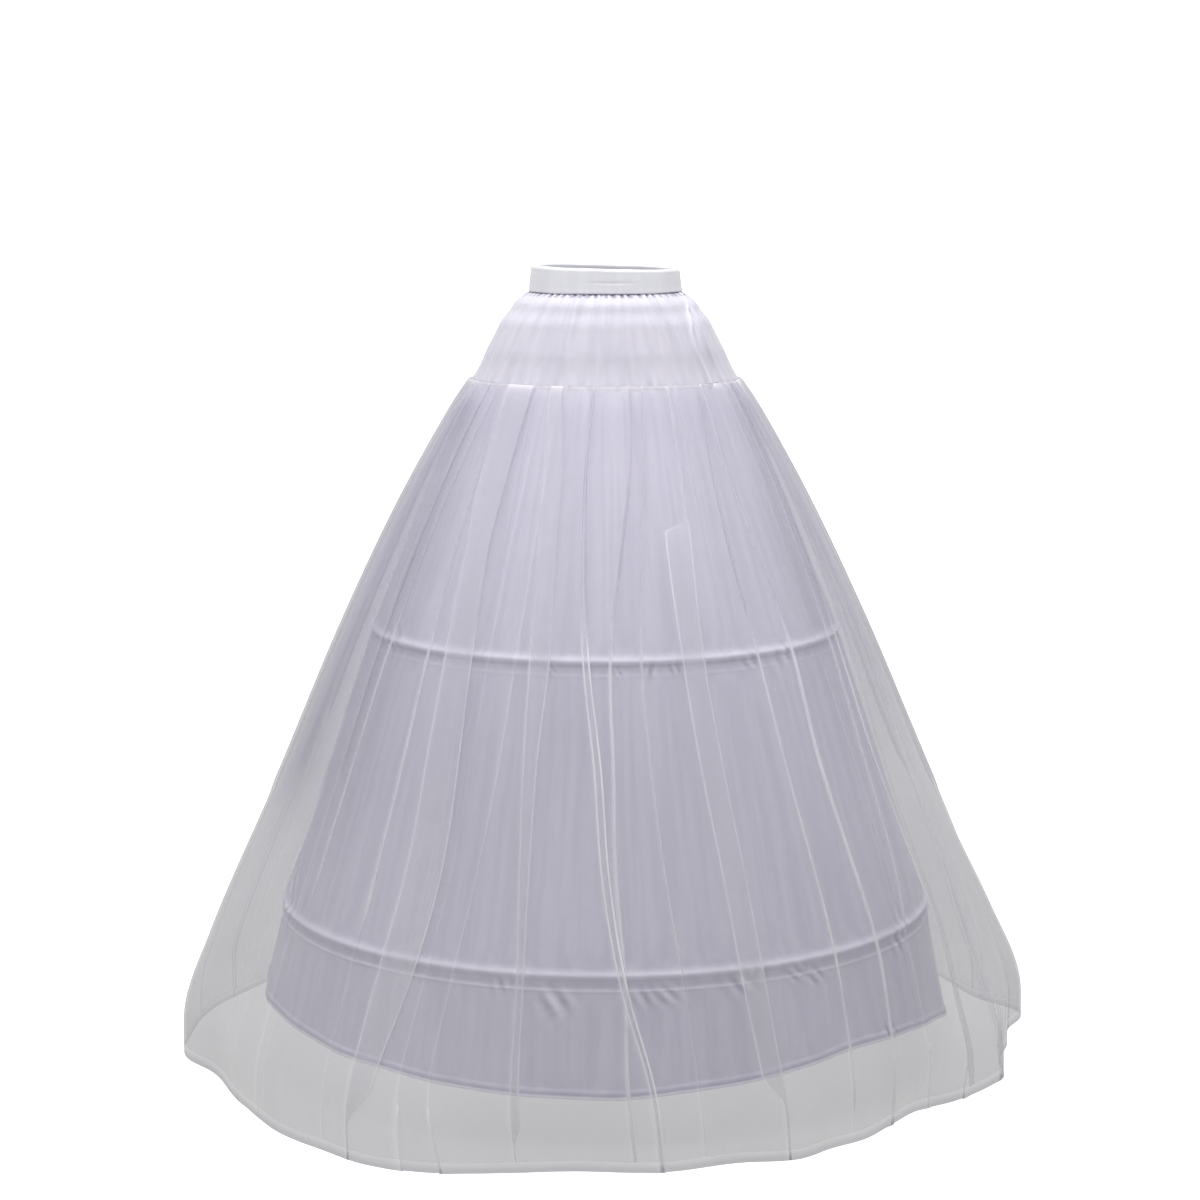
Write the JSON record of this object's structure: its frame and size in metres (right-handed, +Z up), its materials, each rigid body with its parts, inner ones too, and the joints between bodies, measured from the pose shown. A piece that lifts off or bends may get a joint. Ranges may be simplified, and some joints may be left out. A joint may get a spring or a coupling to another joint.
{
  "type": "crinoline petticoat",
  "caption": "Floor-length bell petticoat: elastic waistband, gathered yoke, satin lining held out by sprung hoops, and a tulle overskirt that falls past the lining's hem.",
  "frame": {"origin": "middle of the hem circle, on the floor that the hem touches", "axes": "+Z up to the waist, -Y towards the wearer's front, +X towards the wearer's left"},
  "size_m": [1.1239, 1.1238, 1.05],
  "materials": {
    "waistband": "smooth white woven band",
    "elastic": "ribbed white elastic",
    "yoke": "thin gathered white voile with a lavender cast",
    "lining": "smooth satin lining, white with a lavender cast",
    "casing_tape": "plain white tape",
    "hoop": "bare spring steel wire",
    "joiner": "white plastic sleeve",
    "tulle": "sheer white net, two layers"
  },
  "bodies": {
    "root": {"waistband": "waistband", "waist_elastic": "elastic", "yoke_front": "yoke", "yoke_back": "yoke", "lining_gore_front": "lining", "lining_gore_front_left": "lining", "lining_gore_back_left": "lining", "lining_gore_back": "lining", "lining_gore_back_right": "lining", "lining_gore_front_right": "lining", "upper_hoop_casing": "casing_tape", "upper_hoop": "hoop", "upper_hoop_joiner": "joiner", "lower_hoop_casing": "casing_tape", "lower_hoop": "hoop", "lower_hoop_joiner": "joiner", "under_tulle_front": "tulle", "under_tulle_left": "tulle", "under_tulle_back": "tulle", "under_tulle_right": "tulle", "outer_tulle_front": "tulle", "outer_tulle_left": "tulle", "outer_tulle_back": "tulle", "outer_tulle_right": "tulle"}
  },
  "joints": []
}
